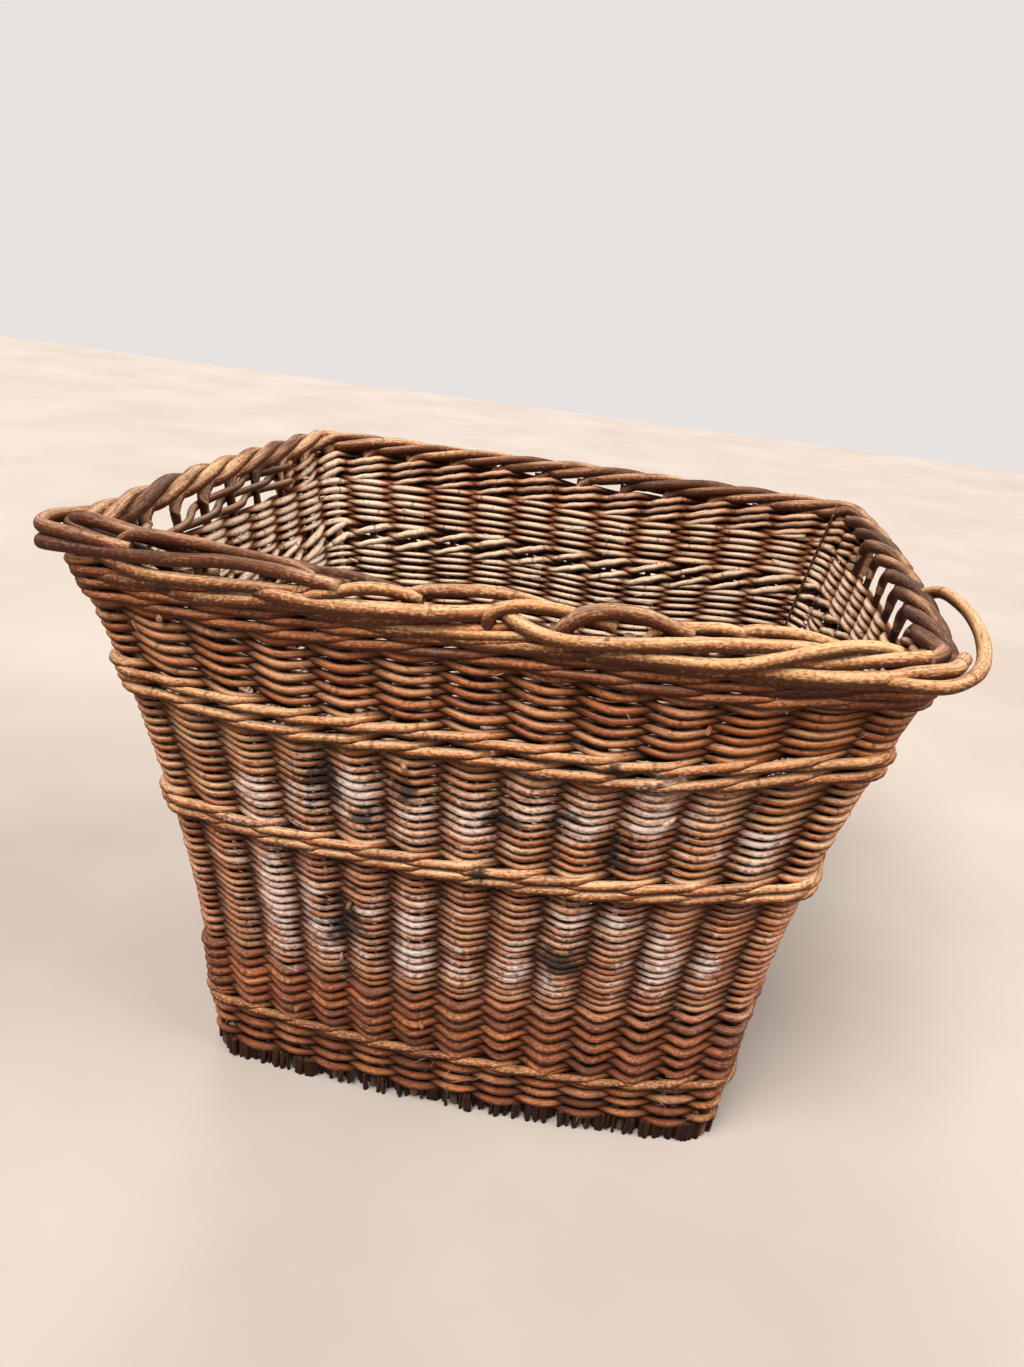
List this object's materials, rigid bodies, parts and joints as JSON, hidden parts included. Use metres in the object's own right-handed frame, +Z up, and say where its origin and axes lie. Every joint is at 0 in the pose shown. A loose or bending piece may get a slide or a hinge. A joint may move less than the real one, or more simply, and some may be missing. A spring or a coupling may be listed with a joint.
{
  "type": "woven wicker basket",
  "caption": "Large open rectangular basket of woven whole cane, tapered with flared bowed walls, banded weave, a thick bent-over border and gaps under it for the hands.",
  "frame": {"origin": "centre of the foot, on the ground", "axes": "+Z up; front of the basket towards -Y; +X to the right along the front wall"},
  "size_m": [0.8038, 0.7, 0.62],
  "materials": {
    "cane_outside": "weathered round cane, orange brown, low sheen",
    "cane_dark": "dark weathered cane, rough cut ends",
    "cane_light": "light tan cane, smooth, low sheen",
    "cane_bleached": "sun-bleached grey tan cane, dry"
  },
  "bodies": {
    "root": {"foot_border": "cane_dark", "base_sticks": "cane_outside", "base_weave": "cane_bleached", "corner_post_front_left": "cane_dark", "corner_post_front_right": "cane_dark", "corner_post_back_left": "cane_dark", "corner_post_back_right": "cane_dark", "front_stakes": "cane_bleached", "back_stakes": "cane_bleached", "left_stakes": "cane_bleached", "right_stakes": "cane_bleached", "lower_wale": "cane_outside", "heavy_weave": "cane_outside", "fine_weave": "cane_outside", "middle_wale": "cane_light", "middle_weave": "cane_outside", "upper_wale": "cane_light", "upper_weave": "cane_outside", "top_rods": "cane_outside", "front_border": "cane_light", "back_border": "cane_dark", "left_border": "cane_dark", "right_border": "cane_light", "border_corner_front_left": "cane_dark", "border_corner_front_right": "cane_light", "border_corner_back_left": "cane_dark", "border_corner_back_right": "cane_dark", "corner_hairpin": "cane_dark", "corner_loop": "cane_light"}
  },
  "joints": []
}
